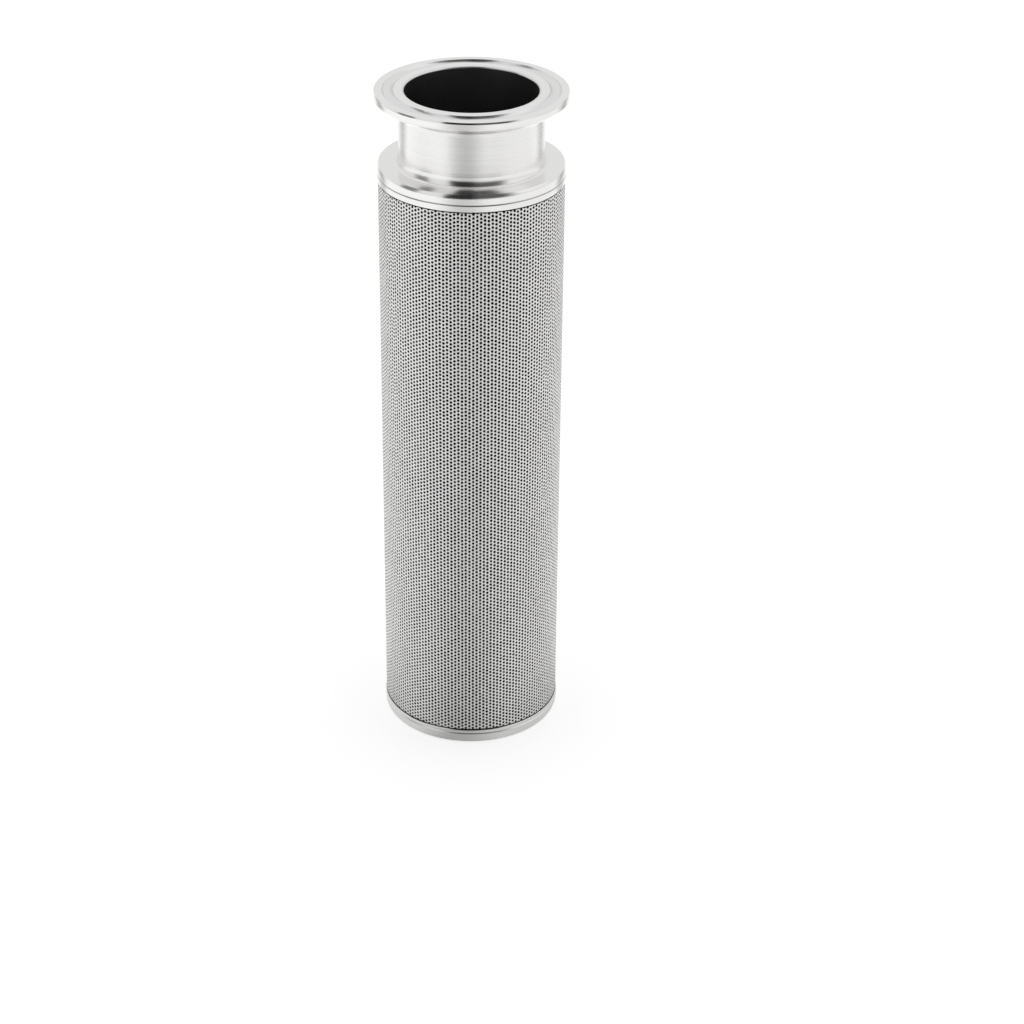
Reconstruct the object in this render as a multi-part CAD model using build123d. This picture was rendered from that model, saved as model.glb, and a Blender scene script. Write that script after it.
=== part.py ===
from build123d import *
from math import cos, degrees, floor, pi, radians, sin, tan
import os

# A stainless steel filter element that stands upright on its blind cap. A perforated guard sleeve
# covers a wrapped mesh pack and a drilled core tube. The top cap carries a clamp ferrule, whose neck
# is the outlet. The origin is the centre of the base face and +Z runs up the axis. Sizes are in mm.

# Main heights
body_length = 165.1
neck_height = 19.4

# Clamp ferrule
tube_diameter = 38.1
tube_wall = 1.65
flange_diameter = 50.5
flange_rim_height = 2.25
flange_back_angle = 20.0
flange_back_radius = 2.5
flange_edge_radius = 0.8
flange_bevel_height = 0.45
flange_bevel_width = 0.15
bore_edge_radius = 0.45
groove_diameter = 43.2
groove_width = 3.0
groove_depth = 1.1

# Weld at the foot of the neck: a low bead on the cap, from which a hollow flare runs up the tube
bead_width = 1.25
bead_height = 0.35
bead_bulge = 0.1
flare_radius = 4.7
flare_angle = 27.0

# End caps: each has a rounded lip round its end face, then a fine turned line and a plain band
cap_overhang = 0.25
top_cap_thickness = 4.9
bottom_cap_thickness = 4.3
cap_lip_height = 1.5
cap_lip_width = 0.45
cap_line_drop = 2.8
cap_line_width = 0.4
cap_line_depth = 0.15
seam_groove_height = 0.35
seam_groove_depth = 0.5
seam_chamfer = 0.1
spigot_height = 3.0
spigot_chamfer = 0.4

# Guard sleeve: its columns of fine holes stand as flutes, and some of them are slotted through
sleeve_diameter = 48.8
sleeve_wall = 0.5
seam_band = 3.4
flute_pitch = 0.98
flute_width = 0.5
flute_depth = 0.25
slot_width = 0.4
slot_length = 26.0
slot_land = 11.0
flutes_per_slot = 6

# Mesh pack and core tube
drainage_mesh_thickness = 0.4
filter_mesh_thickness = 0.2
core_wall = 1.0
core_hole_diameter = 10.0
core_hole_pitch = 22.0
core_holes_round = 4
layer_clearance = 0.05

# Levels along the axis
clamp_face_z = body_length + neck_height
top_shoulder_z = body_length - top_cap_thickness
tube_end_z = top_shoulder_z - spigot_height
pack_length = top_shoulder_z - bottom_cap_thickness
pack_middle_z = bottom_cap_thickness + pack_length / 2

# Radii, from the outside in
flange_r = flange_diameter / 2
sleeve_r = sleeve_diameter / 2
cap_r = sleeve_r + cap_overhang
tube_r = tube_diameter / 2
bore_r = tube_r - tube_wall
groove_r = groove_diameter / 2
sleeve_inner_r = sleeve_r - sleeve_wall
outer_drainage_r = sleeve_inner_r - layer_clearance
filter_r = outer_drainage_r - drainage_mesh_thickness - layer_clearance
inner_drainage_r = filter_r - filter_mesh_thickness - layer_clearance
core_r = inner_drainage_r - drainage_mesh_thickness - layer_clearance
core_inner_r = core_r - core_wall
spigot_r = core_inner_r - layer_clearance


def turned(outline):
    """A closed outline in the XZ plane, turned about the Z axis."""
    return revolve(make_face(outline), axis=Axis.Z).solid()


def tube(outer_r, inner_r, start_z, end_z):
    ring = Circle(outer_r) - Circle(inner_r)
    return Pos(0, 0, start_z) * extrude(ring, amount=end_z - start_z).solid()


def corner_arc(centre_x, centre_z, radius, start_angle, end_angle):
    """A round corner in the XZ plane, between two angles measured from +X towards +Z."""
    angles = (start_angle, (start_angle + end_angle) / 2, end_angle)
    points = [(centre_x + radius * cos(radians(a)), 0, centre_z + radius * sin(radians(a))) for a in angles]
    return ThreePointArc(*points)


def chain(*pieces):
    """Joins arcs and points, in order, into one closed outline with straight runs between them."""
    first = pieces[0]
    start = first @ 0 if isinstance(first, Edge) else Vector(*first)
    here = start
    edges = []
    for piece in pieces:
        target = piece @ 0 if isinstance(piece, Edge) else Vector(*piece)
        if (target - here).length > 1e-6:
            edges.append(Line(here, target))
        here = target
        if isinstance(piece, Edge):
            edges.append(piece)
            here = piece @ 1
    edges.append(Line(here, start))
    return edges


def clamp_ferrule():
    """Neck tube and clamp flange turned as one piece, with a gasket groove and a conical back."""
    slope = radians(flange_back_angle)
    rim_low_z = clamp_face_z - flange_rim_height
    cone_foot_z = rim_low_z - (flange_r - tube_r) * tan(slope)
    # The back radius touches the tube and the cone, so its centre stands off both by that radius.
    neck_centre_x = tube_r + flange_back_radius
    neck_centre_z = cone_foot_z + flange_back_radius * (tan(slope) - 1 / cos(slope))
    # The lower edge radius of the rim touches the cone and the rim.
    edge_centre_x = flange_r - flange_edge_radius
    edge_centre_z = rim_low_z - flange_edge_radius * (tan(slope) - 1 / cos(slope))
    lip_centre_x = bore_r + bore_edge_radius
    groove = ThreePointArc(
        (groove_r + groove_width / 2, 0, clamp_face_z),
        (groove_r, 0, clamp_face_z - groove_depth),
        (groove_r - groove_width / 2, 0, clamp_face_z),
    )
    return turned(
        chain(
            (bore_r, 0, tube_end_z),
            (tube_r, 0, tube_end_z),
            corner_arc(neck_centre_x, neck_centre_z, flange_back_radius, 180, 90 + flange_back_angle),
            corner_arc(edge_centre_x, edge_centre_z, flange_edge_radius, flange_back_angle - 90, 0),
            (flange_r, 0, clamp_face_z - flange_bevel_height),
            (flange_r - flange_bevel_width, 0, clamp_face_z),
            groove,
            corner_arc(lip_centre_x, clamp_face_z - bore_edge_radius, bore_edge_radius, 90, 180),
        )
    )


def neck_weld_bead():
    """Weld metal between the neck and the top cap."""
    crease_z = body_length + bead_height
    flare_top_z = crease_z + flare_radius * sin(radians(flare_angle))
    flare = corner_arc(tube_r + flare_radius, flare_top_z, flare_radius, 180 + flare_angle, 180)
    toe = Vector(tube_r + bead_width, 0, body_length)
    crease = flare @ 0
    bulge = (toe + crease) / 2 + Vector(0, 0, bead_bulge)
    return turned(chain((tube_r, 0, body_length), ThreePointArc(toe, bulge, crease), flare))


def cap_rim(face_z, shoulder_z):
    """Edge of a cap from its shoulder to its end face: seam groove, band, turned line and lip."""
    out = 1 if face_z > shoulder_z else -1
    groove_z = shoulder_z + out * seam_groove_height
    line_z = face_z - out * cap_line_drop
    lip_foot = (cap_r, 0, face_z - out * cap_lip_height)
    lip_end = (cap_r - cap_lip_width, 0, face_z)
    return (
        (cap_r - seam_groove_depth, 0, shoulder_z),
        (cap_r - seam_groove_depth, 0, groove_z),
        (cap_r - seam_chamfer, 0, groove_z),
        (cap_r, 0, groove_z + out * seam_chamfer),
        (cap_r, 0, line_z - out * cap_line_width / 2),
        (cap_r - cap_line_depth, 0, line_z),
        (cap_r, 0, line_z + out * cap_line_width / 2),
        TangentArc(lip_foot, lip_end, tangent=(0, 0, out)),
    )


def top_end_cap():
    """Turned ring with a hole for the neck and a spigot inside the core tube."""
    return turned(
        chain(
            (tube_r, 0, tube_end_z),
            (spigot_r - spigot_chamfer, 0, tube_end_z),
            (spigot_r, 0, tube_end_z + spigot_chamfer),
            (spigot_r, 0, top_shoulder_z),
            *cap_rim(body_length, top_shoulder_z),
            (tube_r, 0, body_length),
        )
    )


def bottom_end_cap():
    """Blind stepped disc that closes the element and is its foot."""
    spigot_top_z = bottom_cap_thickness + spigot_height
    return turned(
        chain(
            (0, 0, spigot_top_z),
            (spigot_r - spigot_chamfer, 0, spigot_top_z),
            (spigot_r, 0, spigot_top_z - spigot_chamfer),
            (spigot_r, 0, bottom_cap_thickness),
            *cap_rim(0, bottom_cap_thickness),
            (0, 0, 0),
        )
    )


def flute_angles():
    """Angles of the flutes, even round the sleeve and left out of the plain seam band at the back."""
    count = round(2 * pi * sleeve_r / flute_pitch)
    step = 360 / count
    half_band = degrees(seam_band / 2 / sleeve_r)
    angles = [90 + (i + 0.5) * step for i in range(count)]
    return [a for a in angles if half_band < a - 90 < 360 - half_band]


def guard_sleeve():
    """Rolled sheet sleeve with flutes over its whole height and a plain seam band."""
    groove = Pos(sleeve_r, 0) * Rectangle(2 * flute_depth, flute_width)
    grooves = [Rot(0, 0, angle) * groove for angle in flute_angles()]
    ring = Circle(sleeve_r) - Circle(sleeve_inner_r) - grooves
    sleeve = Pos(0, 0, bottom_cap_thickness) * extrude(ring, amount=pack_length)
    return (sleeve - guard_slots()).solid()


def guard_slots():
    """Slots through every few flutes, each column half a step above or below the next."""
    step_z = slot_length + slot_land
    rows = floor((pack_length - step_z / 2) / step_z)
    cutter = Box(2 * sleeve_wall, slot_width, slot_length)
    slots = []
    for column, angle in enumerate(flute_angles()[flutes_per_slot // 2::flutes_per_slot]):
        shift = step_z / 4 if column % 2 else -step_z / 4
        for row in range(rows):
            z = pack_middle_z + shift + (row - (rows - 1) / 2) * step_z
            slots.append(Rot(0, 0, angle) * Pos(sleeve_r - sleeve_wall, 0, z) * cutter)
    return slots


def core_tube():
    """Tube that holds the mesh pack open, drilled in staggered rings."""
    rows = floor(pack_length / core_hole_pitch)
    turn = 360 / core_holes_round
    drill = Rot(0, 90, 0) * Cylinder(core_hole_diameter / 2, 2 * core_wall)
    holes = []
    for row in range(rows):
        z = pack_middle_z + (row - (rows - 1) / 2) * core_hole_pitch
        for k in range(core_holes_round):
            angle = (k + (row % 2) / 2) * turn
            holes.append(Rot(0, 0, angle) * Pos(core_r - core_wall / 2, 0, z) * drill)
    return (tube(core_r, core_inner_r, bottom_cap_thickness, top_shoulder_z) - holes).solid()


def mesh_layer(outer_r, thickness):
    """A woven layer of the pack as a closed tube between the two caps."""
    return tube(outer_r, outer_r - thickness, bottom_cap_thickness, top_shoulder_z)


pieces = {
    "clamp_ferrule": clamp_ferrule(),
    "neck_weld_bead": neck_weld_bead(),
    "top_end_cap": top_end_cap(),
    "guard_sleeve": guard_sleeve(),
    "outer_drainage_mesh": mesh_layer(outer_drainage_r, drainage_mesh_thickness),
    "filter_mesh": mesh_layer(filter_r, filter_mesh_thickness),
    "inner_drainage_mesh": mesh_layer(inner_drainage_r, drainage_mesh_thickness),
    "core_tube": core_tube(),
    "bottom_end_cap": bottom_end_cap(),
}

os.makedirs("parts", exist_ok=True)
for name, piece in pieces.items():
    export_step(piece, f"parts/{name}.step")
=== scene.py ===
"""Looks of the filter element: the perforated sleeve, the steel finishes, the light and the camera."""
import math
import random
from collections import namedtuple

import bpy
from mathutils import Matrix, Vector


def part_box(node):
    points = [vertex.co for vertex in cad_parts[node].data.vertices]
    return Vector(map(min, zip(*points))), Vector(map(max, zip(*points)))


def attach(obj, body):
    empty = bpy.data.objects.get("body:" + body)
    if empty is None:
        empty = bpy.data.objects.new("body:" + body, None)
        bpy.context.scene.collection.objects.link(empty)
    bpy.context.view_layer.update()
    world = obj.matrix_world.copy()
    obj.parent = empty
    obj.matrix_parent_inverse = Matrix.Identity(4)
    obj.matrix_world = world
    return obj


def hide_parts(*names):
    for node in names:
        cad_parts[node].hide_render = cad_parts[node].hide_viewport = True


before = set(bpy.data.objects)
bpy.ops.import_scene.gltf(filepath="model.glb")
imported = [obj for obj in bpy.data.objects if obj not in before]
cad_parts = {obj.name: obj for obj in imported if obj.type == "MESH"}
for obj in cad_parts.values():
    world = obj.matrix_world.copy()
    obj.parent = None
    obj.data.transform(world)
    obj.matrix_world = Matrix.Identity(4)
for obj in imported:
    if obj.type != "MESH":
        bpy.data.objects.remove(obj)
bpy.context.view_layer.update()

MM = 0.001

# Camera, fitted to the photograph with the object's axis at x = y = 0, in millimetres and degrees
CAMERA_DISTANCE = 620.1
CAMERA_HEIGHT = 404.9
CAMERA_YAW = 1.052
CAMERA_PITCH = 29.03
CAMERA_ROLL = 0.564
CAMERA_LENS = 89.19
SENSOR_WIDTH = 36.0

# Room: the light that falls on matt things, the brightness that steel mirrors, and cards that steel
# mirrors in front of it. A card has its middle and half size in degrees of azimuth (0 towards the
# camera, positive to its right) and elevation, its soft edges (left, right, then upper and lower) and
# its brightness, from 0 for black to 1 for white.
ROOM_DIFFUSE = 0.65
ROOM_LEVEL = 0.83
ROOM_CARDS = [
    ((80, 35), (24, 22), (6, 4, 6), 0.95),
    ((-80, 24), (12, 25), (2, 2, 5), 0.22),
    ((9, 34), (41, 32), (2, 10, 6), 0.1),
    ((-14, 32), (19, 44), (2, 5, 5), 0.015),
]

# Paper under the object: its tone, its glow for the camera and in reflections, and sectors of
# painted shade and painted light that only reflections show. A sector has its middle, half size and soft
# edge in degrees of azimuth, its reach in metres and the factor on the brightness.
PAPER_SIZE = 6.0
PAPER_TONE = 0.88
PAPER_ROUGHNESS = 0.9
PAPER_LEVEL = 0.48
PAPER_GLOSS = 0.49
PAPER_PAINTED_SECTORS = [
    (-5, 100, 60, 0.4, 0.94),
    (-9, 20, 18, 6.0, 0.62),
    (70, 50, 20, 6.0, 0.91),
    (-134, 10, 11, 6.0, 0.46),
    (134, 10, 11, 6.0, 0.46),
    # Painted light near the object at the back sides
    (-134, 12, 13, 0.4, 2.0),
    (134, 12, 13, 0.4, 2.0),
    # Painted shadow of the object round its foot
    (0, 200, 5, 0.037, 0.75),
]

# Steel. Turned pieces have lines round the axis, each set with its lines per millimetre, its drift
# along them and its share.
STEEL = (0.88, 0.875, 0.865, 1.0)
STEEL_LINES = [(9.0, 0.015, 0.6), (1.3, 0.006, 0.4)]
LINE_DEPTH = 0.006
FERRULE_ROUGHNESS = 0.14
CAP_ROUGHNESS = 0.16
BEAD_ROUGHNESS = 0.2
NECK_ROUGHNESS = 0.26
NECK_LINE_DEPTH = 0.02
# The core tube's dark grey is painted shade inside the bore
CORE_SHADE_COLOUR = (0.3, 0.3, 0.3, 1.0)
CORE_ROUGHNESS = 0.35
SHEET_ROUGHNESS = (0.36, 0.46)
# Tones of the hole walls are painted shade: darkened steel near the surface, near-black deeper down
HOLE_PAINTED_LIT = (0.4, 0.4, 0.395, 1.0)
HOLE_PAINTED_DARK = (0.008, 0.008, 0.008, 1.0)
HOLE_PAINTED_LIT_DEPTH = 0.2

# Woven wire of the layers below the sleeve: their radius and the weave's radians per millimetre
WIRE_RADIUS = 24.0
WIRE_WAVES = 30.0
# The weave's two near-black tones are painted shade of the layers inside the sleeve
WIRE_LIGHT_IN_SHADE = (0.025, 0.025, 0.024, 1.0)
WIRE_DARK_IN_SHADE = (0.005, 0.005, 0.005, 1.0)

# Places on the turned pieces that have a finish or painted shade of their own, in millimetres
TUBE_RADIUS = 19.05
BORE_RADIUS = 17.4
BORE_EDGE = 0.5
BACK_HEIGHT = 6.0
GROOVE_RADIUS = 21.6
GROOVE_HALF_WIDTH = 1.6
GROOVE_DEPTH = 1.3
CAP_LINE_DROP = 2.8
CAP_LINE_HALF_WIDTH = 0.2
SEAM_GROOVE = 0.34

# Perforation of the sleeve, in millimetres: columns of holes, each about half a step above or below
# the next. The columns wander against each other, as waves round the sleeve with their size in steps
# and their start in radians, and the holes vary a little in size and place.
HOLE_DIAMETER = 0.74
HOLE_SIDES = 8
HOLE_SIZE_SPREAD = 0.06
HOLE_PLACE_SPREAD = 0.025
COLUMN_PITCH = 0.98
ROW_PITCH = 1.05
COLUMN_WANDER = [(2, 1.5, 0.0), (4, -0.75, 0.0), (9, 0.12, 1.3)]
COLUMN_JITTER = 0.07
COLUMN_STRETCH = 0.0012
RIM_TILT = 0.7
SHEET = 0.5
SEAM_BAND = 3.4
SEAM_BEAD_WIDTH = 1.3
SEAM_BEAD_RISE = 0.08
BANDS = 4

# A stretch of a turned piece between two heights and two radii, with a tone and roughness of its own; some
# of these tones are painted shade
Place = namedtuple("Place", "low_z high_z low_r high_r tone roughness")

# A cylinder between two heights that is brushed round the axis
Wall = namedtuple("Wall", "low_z high_z radius roughness line_depth")

# The sleeve's radius, its two ends, the angles of a column and of half the seam band, and the columns
Sleeve = namedtuple("Sleeve", "r low high step half_band columns")


# Helpers for shader nodes

class Nodes:
    """An emptied node tree with short calls that add and link nodes."""

    def __init__(self, owner):
        owner.use_nodes = True
        self.tree = owner.node_tree
        self.tree.nodes.clear()

    def node(self, kind, **values):
        made = self.tree.nodes.new(kind)
        for key, value in values.items():
            setattr(made, key, value)
        return made

    def plug(self, value, socket):
        """Links an output to a socket, or sets the socket to a plain value."""
        if isinstance(value, bpy.types.NodeSocket):
            self.tree.links.new(value, socket)
        else:
            socket.default_value = value

    def math(self, operation, a, b=0.0):
        made = self.node("ShaderNodeMath", operation=operation)
        self.plug(a, made.inputs[0])
        self.plug(b, made.inputs[1])
        return made.outputs[0]

    def remap(self, value, low, high, to_low, to_high, shape="LINEAR"):
        made = self.node("ShaderNodeMapRange", interpolation_type=shape)
        for item, socket in zip((value, low, high, to_low, to_high), made.inputs):
            self.plug(item, socket)
        return made.outputs[0]

    def between(self, value, low, high, soft_low, soft_high):
        """1 between two values, falling softly to 0 outside them."""
        rise = self.remap(value, low - soft_low, low + soft_low, 0.0, 1.0, "SMOOTHSTEP")
        fall = self.remap(value, high - soft_high, high + soft_high, 1.0, 0.0, "SMOOTHSTEP")
        return self.math("MULTIPLY", rise, fall)

    def mix(self, factor, a, b):
        made = self.node("ShaderNodeMix", data_type="FLOAT")
        self.plug(factor, made.inputs[0])
        self.plug(a, made.inputs[2])
        self.plug(b, made.inputs[3])
        return made.outputs[0]

    def mix_color(self, factor, a, b):
        made = self.node("ShaderNodeMix", data_type="RGBA")
        self.plug(factor, made.inputs[0])
        self.plug(a, made.inputs[6])
        self.plug(b, made.inputs[7])
        return made.outputs[2]

    def split(self, vector):
        made = self.node("ShaderNodeSeparateXYZ")
        self.plug(vector, made.inputs[0])
        return made.outputs

    def vector(self, x, y, z):
        made = self.node("ShaderNodeCombineXYZ")
        for value, socket in zip((x, y, z), made.inputs):
            self.plug(value, socket)
        return made.outputs[0]

    def length(self, x, y):
        squares = self.math("ADD", self.math("MULTIPLY", x, x), self.math("MULTIPLY", y, y))
        return self.math("SQRT", squares)

    def azimuth(self, x, y):
        """Degrees from the camera's side, positive to its right."""
        return self.math("DEGREES", self.math("ARCTAN2", x, self.math("MULTIPLY", y, -1.0)))

    def noise(self, vector, scale, detail=2.0, roughness=0.5):
        made = self.node("ShaderNodeTexNoise")
        self.plug(vector, made.inputs["Vector"])
        made.inputs["Scale"].default_value = scale
        made.inputs["Detail"].default_value = detail
        made.inputs["Roughness"].default_value = roughness
        return made.outputs[0]

    def bump(self, height, strength, distance):
        made = self.node("ShaderNodeBump")
        made.inputs["Strength"].default_value = strength
        made.inputs["Distance"].default_value = distance
        self.plug(height, made.inputs["Height"])
        return made.outputs[0]


class Shader(Nodes):
    """A material made of one principled shader."""

    def __init__(self, name):
        self.material = bpy.data.materials.new(name)
        super().__init__(self.material)
        self.bsdf = self.node("ShaderNodeBsdfPrincipled")
        self.plug(self.bsdf.outputs[0], self.node("ShaderNodeOutputMaterial").inputs[0])

    def set(self, name, value):
        self.plug(value, self.bsdf.inputs[name])

    def place(self):
        """Object coordinates in millimetres."""
        coords = self.node("ShaderNodeTexCoord").outputs["Object"]
        return [self.math("MULTIPLY", value, 1000.0) for value in self.split(coords)]


# Steel finishes

def turned_lines(s, x, y, z):
    """Fine lines round the axis, as a lathe or a polishing belt leaves them, on cylinders and faces."""
    radius = s.length(x, y)
    lines = 0.0
    for density, drift, share in STEEL_LINES:
        across = s.math("MULTIPLY", s.math("ADD", z, radius), density)
        along_x, along_y = (s.math("MULTIPLY", value, drift) for value in (x, y))
        grain = s.noise(s.vector(along_x, along_y, across), 1.0, 3.0, 0.6)
        lines = s.math("ADD", lines, s.math("MULTIPLY", grain, share))
    return lines


def brush(s, wall, z, radius, lines, rough):
    """Brushes one wall of a turned piece. Returns the new roughness and depth of the lines."""
    inside = s.math("MULTIPLY", s.between(z, wall.low_z, wall.high_z, 0.5, 0.5),
                    s.math("LESS_THAN", radius, wall.radius + 0.1))
    inside = s.math("MULTIPLY", inside, s.math("GREATER_THAN", radius, wall.radius - 0.1))
    s.set("Anisotropic", s.math("MULTIPLY", inside, 0.8))
    s.set("Anisotropic Rotation", 0.25)
    s.set("Tangent", s.node("ShaderNodeTangent", direction_type="RADIAL", axis="Z").outputs[0])
    brushed = s.remap(lines, 0.35, 0.65, wall.roughness - 0.05, wall.roughness + 0.05)
    return s.mix(inside, rough, brushed), s.mix(inside, LINE_DEPTH, wall.line_depth)


def turned_steel(name, roughness, wall=None, places=()):
    """Turned and polished steel, which may have a brushed wall and places with their own finish or painted
    shade.
    """
    s = Shader(name)
    x, y, z = s.place()
    radius = s.length(x, y)
    lines = turned_lines(s, x, y, z)
    cloud = s.noise(s.vector(x, y, z), 0.12, 3.0)
    colour = STEEL
    rough = s.math("ADD", s.remap(lines, 0.3, 0.7, roughness - 0.04, roughness + 0.05),
                   s.remap(cloud, 0.3, 0.7, -0.015, 0.02))
    depth = LINE_DEPTH
    if wall:
        rough, depth = brush(s, wall, z, radius, lines, rough)
    for place in places:
        inside = s.math("MULTIPLY", s.between(z, place.low_z, place.high_z, 0.02, 0.02),
                        s.between(radius, place.low_r, place.high_r, 0.01, 0.01))
        colour = s.mix_color(inside, colour, (place.tone, place.tone, place.tone, 1.0))
        rough = s.mix(inside, rough, place.roughness)
    s.set("Base Color", colour)
    s.set("Metallic", 1.0)
    s.set("Roughness", rough)
    s.set("Normal", s.bump(s.math("MULTIPLY", lines, depth), 1.0, MM))
    return s.material


def core_steel_painted_shade():
    """Dull steel of the core tube, in a dark tone that is painted shade, seen only through the bore."""
    s = Shader("core_painted_shade")
    lines = turned_lines(s, *s.place())
    s.set("Base Color", CORE_SHADE_COLOUR)
    s.set("Metallic", 1.0)
    s.set("Roughness", CORE_ROUGHNESS)
    s.set("Normal", s.bump(s.math("MULTIPLY", lines, LINE_DEPTH), 1.0, MM))
    return s.material


def sheet_steel():
    """Satin sheet of the sleeve."""
    s = Shader("sleeve_sheet")
    x, y, z = s.place()
    grain = s.noise(s.vector(x, y, s.math("MULTIPLY", z, 0.25)), 3.0, 3.0)
    cloud = s.noise(s.vector(x, y, z), 0.1, 2.0)
    s.set("Base Color", STEEL)
    s.set("Metallic", 1.0)
    s.set("Roughness", s.math("ADD", s.remap(grain, 0.3, 0.7, *SHEET_ROUGHNESS),
                              s.remap(cloud, 0.3, 0.7, -0.03, 0.03)))
    s.set("Normal", s.bump(grain, 0.4, 0.01 * MM))
    return s.material


def hole_wall_painted_shade(surface_r):
    """Wall of a hole, all painted shade: a darkened steel tone at the surface, fading to near-black deeper
    in.
    """
    s = Shader("hole_wall_painted_shade")
    x, y, z = s.place()
    painted_lit_share = s.remap(s.length(x, y), surface_r - HOLE_PAINTED_LIT_DEPTH, surface_r, 0.0, 1.0)
    s.set("Base Color", s.mix_color(painted_lit_share, HOLE_PAINTED_DARK, HOLE_PAINTED_LIT))
    s.set("Metallic", 1.0)
    s.set("Roughness", 0.4)
    return s.material


def woven_wire_painted_shade():
    """Fine plain weave of the layers under the sleeve, in near-black tones that are painted shade."""
    s = Shader("woven_wire_painted_shade")
    x, y, z = s.place()
    round_the_tube = s.math("MULTIPLY", s.math("ARCTAN2", y, x), WIRE_RADIUS)
    warp = s.math("SINE", s.math("MULTIPLY", round_the_tube, WIRE_WAVES))
    weft = s.math("SINE", s.math("MULTIPLY", z, WIRE_WAVES))
    weave = s.math("MULTIPLY", warp, weft)
    s.set("Base Color", s.mix_color(s.remap(weave, -1.0, 1.0, 0.0, 1.0), WIRE_DARK_IN_SHADE, WIRE_LIGHT_IN_SHADE))
    s.set("Metallic", 0.7)
    s.set("Roughness", 0.55)
    s.set("Normal", s.bump(weave, 0.5, 0.05 * MM))
    return s.material


# Perforated sleeve

class Sheet:
    """A thin rolled sheet. A point is (angle, height, radius) and a normal outwards, sideways and up."""

    def __init__(self):
        self.verts = []
        self.normals = []
        self.faces = []
        self.kinds = []
        self.index = {}

    def vertex(self, point):
        a, z, r, out, side, up = point
        key = (round(a * 1e5), round(z * 1e3), round(r * 1e3))
        if key not in self.index:
            self.index[key] = len(self.verts)
            cos, sin = math.cos(a), math.sin(a)
            self.verts.append((r * cos * MM, r * sin * MM, z * MM))
            self.normals.append(Vector((out * cos - side * sin, out * sin + side * cos, up)).normalized())
        return self.index[key]

    def face(self, kind, points):
        corners = list(dict.fromkeys(self.vertex(p) for p in points))
        if len(corners) > 2:
            self.faces.append(corners)
            self.kinds.append(kind)

    def build(self, name, materials):
        mesh = bpy.data.meshes.new(name)
        mesh.from_pydata(self.verts, [], self.faces)
        for material in materials:
            mesh.materials.append(material)
        mesh.polygons.foreach_set("material_index", self.kinds)
        mesh.polygons.foreach_set("use_smooth", [True] * len(self.faces))
        mesh.normals_split_custom_set_from_vertices(self.normals)
        return add_object(name, mesh)


def add_object(name, mesh):
    mesh.update()
    made = bpy.data.objects.new(name, mesh)
    bpy.context.scene.collection.objects.link(made)
    return made


def plan_sleeve():
    """The sleeve's sizes from the frame, with the number and angle of each column of holes."""
    low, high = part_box("guard_sleeve")
    r = high.x / MM
    count = round(2 * math.pi * r / COLUMN_PITCH)
    step = 2 * math.pi / count
    seam_columns = math.ceil(SEAM_BAND / COLUMN_PITCH / 2)
    columns = [(i, math.pi / 2 + (i + 0.5) * step) for i in range(seam_columns, count - seam_columns)]
    return Sleeve(r, low.z / MM, high.z / MM, step, seam_columns * step, columns)


def cut(points, limit, side):
    """The part of a face above (side 1) or below (side -1) a height."""
    kept = []
    for k, here in enumerate(points):
        before = points[k - 1]
        inside, was_inside = (side * (p[1] - limit) >= 0 for p in (here, before))
        if inside != was_inside:
            t = (limit - before[1]) / (here[1] - before[1])
            kept.append(tuple(b + t * (h - b) for b, h in zip(before, here)))
        if inside:
            kept.append(here)
    return kept


def hole_cell(sleeve, a, low, high, hole_a, hole_z, radius):
    """Faces of a cell of sheet round one hole, as (kind, points): 0 is the sheet and 1 the hole's wall."""
    half = sleeve.step / 2
    r = sleeve.r
    corners = [(a + i * half, z, r, 1.0, 0.0, 0.0) for i, z in ((1, high), (-1, high), (-1, low), (1, low))]
    rim = []
    foot = []
    for k in range(HOLE_SIDES):
        turn = (k + 0.5) * 2 * math.pi / HOLE_SIDES
        cos, sin = math.cos(turn), math.sin(turn)
        place = (hole_a + radius * cos / r, hole_z + radius * sin)
        rim.append((*place, r, 1.0, -RIM_TILT * cos, -RIM_TILT * sin))
        foot.append((*place, r - SHEET, 0.0, -cos, -sin))
    faces = []
    # Each corner of the cell faces one side of the hole, and each edge of the cell the next one.
    for k, here in enumerate(corners):
        after = corners[(k + 1) % len(corners)]
        faces.append((0, (here, after, rim[(2 * k + 2) % HOLE_SIDES], rim[2 * k + 1])))
        faces.append((0, (here, rim[2 * k + 1], rim[2 * k])))
    for k in range(HOLE_SIDES):
        after = (k + 1) % HOLE_SIDES
        faces.append((1, (rim[k], rim[after], foot[after], foot[k])))
    return faces


def make_perforation(sleeve, materials):
    """The perforated part of the sleeve, as bands one above the other."""
    chance = random.Random(11)
    bands = [Sheet() for k in range(BANDS)]
    height = sleeve.high - sleeve.low
    for column, a in sleeve.columns:
        wander = chance.uniform(-1, 1) * COLUMN_JITTER
        for waves, size, start in COLUMN_WANDER:
            wander += size * math.cos(waves * (a + math.pi / 2) + start)
        phase = (column / 2 + wander) % 1.0
        pitch = ROW_PITCH * (1 + chance.uniform(-1, 1) * COLUMN_STRETCH)
        for row in range(-1, math.ceil(height / pitch) + 1):
            low = sleeve.low + (row + phase) * pitch
            high = low + pitch
            hole_a = a + chance.uniform(-1, 1) * HOLE_PLACE_SPREAD / sleeve.r
            hole_z = (low + high) / 2 + chance.uniform(-1, 1) * HOLE_PLACE_SPREAD
            radius = HOLE_DIAMETER / 2 * (1 + chance.uniform(-1, 1) * HOLE_SIZE_SPREAD)
            if high <= sleeve.low or low >= sleeve.high:
                continue
            band = bands[min(BANDS - 1, max(0, math.floor((hole_z - sleeve.low) / height * BANDS)))]
            whole = low >= sleeve.low and high <= sleeve.high
            for kind, points in hole_cell(sleeve, a, low, high, hole_a, hole_z, radius):
                if not whole:
                    points = cut(cut(points, sleeve.low, 1), sleeve.high, -1)
                band.face(kind, points)
    return [band.build(f"sleeve_band_{k + 1}", materials) for k, band in enumerate(bands)]


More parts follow.
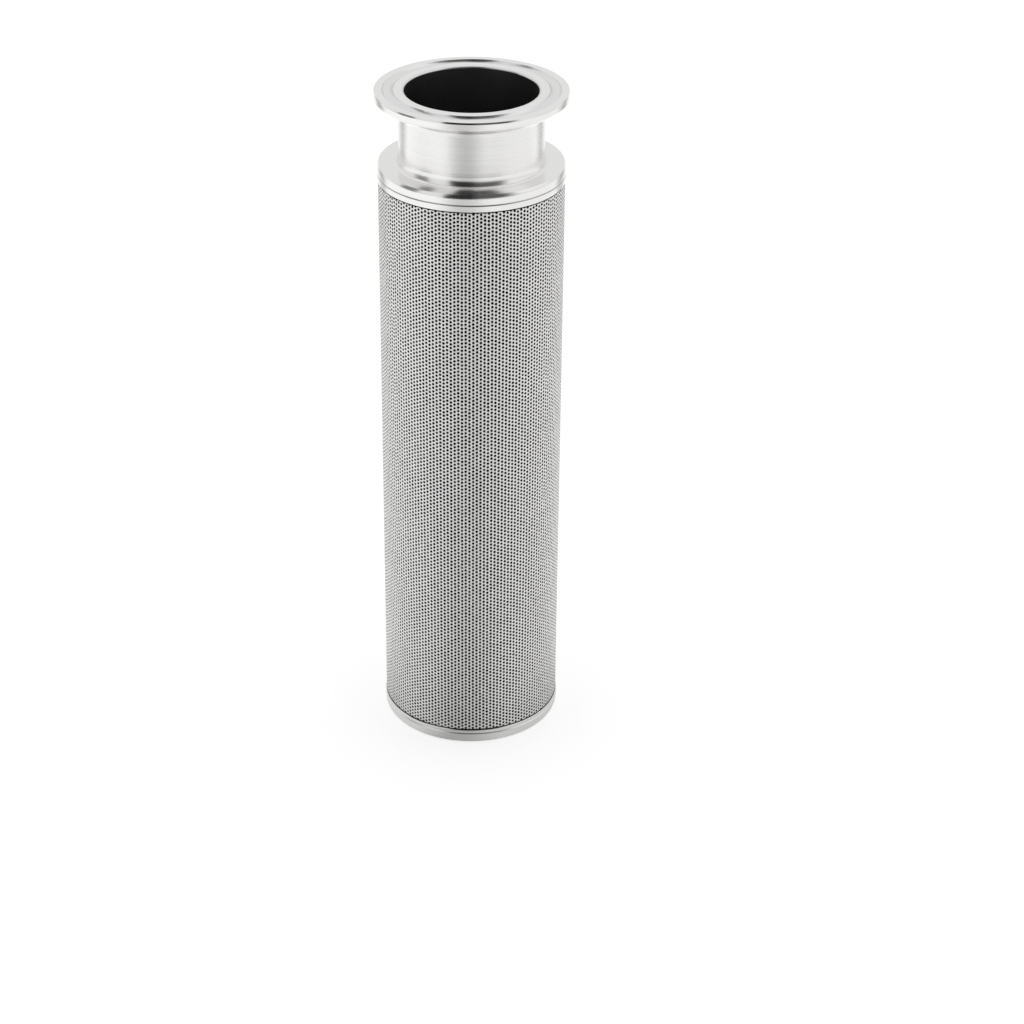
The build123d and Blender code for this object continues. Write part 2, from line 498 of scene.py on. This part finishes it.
def seam_strip(sleeve, sheet):
    """The plain band at the back, where the sheet's edges meet in a low ground weld."""
    half_bead = SEAM_BEAD_WIDTH / 2 / sleeve.r
    steps = [-sleeve.half_band] + [half_bead * k / 6 for k in range(-6, 7)] + [sleeve.half_band]
    verts = []
    for a in steps:
        crown = max(0.0, 1.0 - (a / half_bead) ** 2) ** 0.7
        r = (sleeve.r + SEAM_BEAD_RISE * crown) * MM
        turn = math.pi / 2 + a
        verts += [(r * math.cos(turn), r * math.sin(turn), z * MM) for z in (sleeve.low, sleeve.high)]
    faces = [(i, i + 1, i + 3, i + 2) for i in range(0, len(verts) - 2, 2)]
    mesh = bpy.data.meshes.new("sleeve_seam")
    mesh.from_pydata(verts, [], faces)
    mesh.materials.append(sheet)
    mesh.polygons.foreach_set("use_smooth", [True] * len(faces))
    return add_object("sleeve_seam", mesh)


def make_sleeve():
    sleeve = plan_sleeve()
    sheet = sheet_steel()
    pieces = [seam_strip(sleeve, sheet)] + make_perforation(sleeve, (sheet, hole_wall_painted_shade(sleeve.r)))
    for piece in pieces:
        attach(piece, "root")
        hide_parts("guard_sleeve")


# Finishes and painted shade of the pieces that come from the frame

def ferrule_finish_and_shade(cap_top, clamp_face):
    """Polished flange, brushed neck and dull bore lip, with painted shade in the gasket groove and down the
    bore.
    """
    neck = Wall(cap_top + 1.0, clamp_face - BACK_HEIGHT, TUBE_RADIUS, NECK_ROUGHNESS, NECK_LINE_DEPTH)
    edge_z = clamp_face - BORE_EDGE
    # The gasket groove's lower tone is painted shade in the recess
    groove = Place(clamp_face - GROOVE_DEPTH, clamp_face - 0.05,
                   GROOVE_RADIUS - GROOVE_HALF_WIDTH, GROOVE_RADIUS + GROOVE_HALF_WIDTH, 0.83, 0.25)
    bore_lip = Place(edge_z, clamp_face + 0.1, BORE_RADIUS - 0.4, BORE_RADIUS + BORE_EDGE, 0.8, 0.35)
    # The bore wall's dark tone is painted shade inside the bore
    painted_bore_shade = Place(0.0, edge_z, BORE_RADIUS - 0.4, BORE_RADIUS + 0.1, 0.35, 0.3)
    return turned_steel("ferrule_finish_and_shade", FERRULE_ROUGHNESS, neck, [groove, bore_lip, painted_bore_shade])


def cap_finish_and_shade(name, cap_r, line_z, painted_line_tone, line_roughness, sleeve_end, out):
    """Polished cap with painted shade on its turned line and in the dark groove between it and the sleeve.
    It lies above the sleeve's end (out 1) or below it (out -1)."""
    # The turned line's darker tone is painted shade
    line = Place(line_z - CAP_LINE_HALF_WIDTH, line_z + CAP_LINE_HALF_WIDTH, cap_r - 0.3, cap_r - 0.02,
                 painted_line_tone, line_roughness)
    low_z, high_z = sorted((sleeve_end - out * 0.1, sleeve_end + out * SEAM_GROOVE))
    # The near-black seam is painted shade in the groove against the sleeve
    seam = Place(low_z, high_z, cap_r - 0.7, cap_r - 0.05, 0.03, 0.4)
    return turned_steel(name, CAP_ROUGHNESS, places=[line, seam])


def finish_frame_pieces():
    cap_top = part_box("top_end_cap")[1].z / MM
    cap_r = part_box("top_end_cap")[1].x / MM
    clamp_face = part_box("clamp_ferrule")[1].z / MM
    sleeve_low, sleeve_high = (corner.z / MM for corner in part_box("guard_sleeve"))
    top_line_z = cap_top - CAP_LINE_DROP
    shaded_wire = woven_wire_painted_shade()
    finishes = {
        "clamp_ferrule": ferrule_finish_and_shade(cap_top, clamp_face),
        # Line tones 0.5 and 0.85 are painted shade
        "top_end_cap": cap_finish_and_shade("cap_finish_and_shade", cap_r, top_line_z, 0.5, 0.35, sleeve_high, 1),
        "bottom_end_cap": cap_finish_and_shade("cap_finish_and_shade_low", cap_r, CAP_LINE_DROP, 0.85, 0.3, sleeve_low, -1),
        "neck_weld_bead": turned_steel("bead_finish", BEAD_ROUGHNESS),
        "core_tube": core_steel_painted_shade(),
        "outer_drainage_mesh": shaded_wire,
        "filter_mesh": shaded_wire,
        "inner_drainage_mesh": shaded_wire,
    }
    for node, finish in finishes.items():
        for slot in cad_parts[node].material_slots:
            slot.material = finish


# Paper, room and camera

def make_paper():
    """White paper. Only reflections show its painted shade and painted light: darker in front of the
    object, where the room is dark, and round its foot.
    """
    size = PAPER_SIZE
    mesh = bpy.data.meshes.new("floor")
    corners = [(-size, -size, 0), (size, -size, 0), (size, size, 0), (-size, size, 0)]
    mesh.from_pydata(corners, [], [(0, 1, 2, 3)])
    floor = add_object("floor", mesh)
    s = Shader("floor_paper")
    x, y = s.split(s.node("ShaderNodeTexCoord").outputs["Object"])[:2]
    azimuth = s.azimuth(x, y)
    distance = s.length(x, y)
    shade = 1.0
    for middle, half, soft, reach, share in PAPER_PAINTED_SECTORS:
        inside = s.between(azimuth, middle - half, middle + half, soft, soft)
        inside = s.math("MULTIPLY", inside, s.math("LESS_THAN", distance, reach))
        shade = s.math("MULTIPLY", shade, s.mix(inside, 1.0, share))
    path = s.node("ShaderNodeLightPath")
    glossy = path.outputs["Is Glossy Ray"]
    tone = s.math("MULTIPLY", s.mix(glossy, 1.0, shade), PAPER_TONE)
    s.set("Base Color", s.vector(tone, tone, tone))
    s.set("Roughness", PAPER_ROUGHNESS)
    s.set("Specular IOR Level", 0.0)
    s.set("Emission Color", (1.0, 1.0, 1.0, 1.0))
    seen = s.mix(path.outputs["Is Camera Ray"], 0.0, PAPER_LEVEL)
    s.set("Emission Strength", s.mix(glossy, seen, s.math("MULTIPLY", shade, PAPER_GLOSS)))
    mesh.materials.append(s.material)


def make_world():
    """White surroundings, with dark parts of the room that only reflections show."""
    world = bpy.data.worlds.new("studio")
    bpy.context.scene.world = world
    w = Nodes(world)
    x, y, z = w.split(w.node("ShaderNodeTexCoord").outputs["Generated"])
    azimuth = w.azimuth(x, y)
    elevation = w.math("DEGREES", w.math("ARCSINE", z))
    level = ROOM_LEVEL
    for middle, half, soft, tone in ROOM_CARDS:
        across = w.between(azimuth, middle[0] - half[0], middle[0] + half[0], soft[0], soft[1])
        upward = w.between(elevation, middle[1] - half[1], middle[1] + half[1], soft[2], soft[2])
        level = w.mix(w.math("MULTIPLY", across, upward), level, tone)
    path = w.node("ShaderNodeLightPath")
    seen = w.mix(path.outputs["Is Glossy Ray"], ROOM_DIFFUSE, level)
    seen = w.mix(path.outputs["Is Camera Ray"], seen, 1.0)
    background = w.node("ShaderNodeBackground")
    w.plug((1.0, 1.0, 1.0, 1.0), background.inputs["Color"])
    w.plug(seen, background.inputs["Strength"])
    w.plug(background.outputs[0], w.node("ShaderNodeOutputWorld").inputs[0])


def make_camera():
    data = bpy.data.cameras.new("camera")
    data.sensor_width = SENSOR_WIDTH
    data.lens = CAMERA_LENS
    data.clip_start = 0.01
    data.clip_end = 50.0
    camera = bpy.data.objects.new("camera", data)
    bpy.context.scene.collection.objects.link(camera)
    yaw, pitch, roll = (math.radians(a) for a in (CAMERA_YAW, CAMERA_PITCH, CAMERA_ROLL))
    ahead = Vector((math.sin(yaw) * math.cos(pitch), math.cos(yaw) * math.cos(pitch), -math.sin(pitch)))
    level = Vector((math.cos(yaw), -math.sin(yaw), 0.0))
    upright = level.cross(ahead)
    right = level * math.cos(roll) + upright * math.sin(roll)
    up = upright * math.cos(roll) - level * math.sin(roll)
    turn = Matrix((right, up, -ahead)).transposed().to_4x4()
    camera.matrix_world = Matrix.Translation(Vector((0, -CAMERA_DISTANCE, CAMERA_HEIGHT)) * MM) @ turn
    bpy.context.scene.camera = camera


make_sleeve()
finish_frame_pieces()
make_paper()
make_world()
make_camera()
bpy.context.scene.view_settings.view_transform = "Standard"
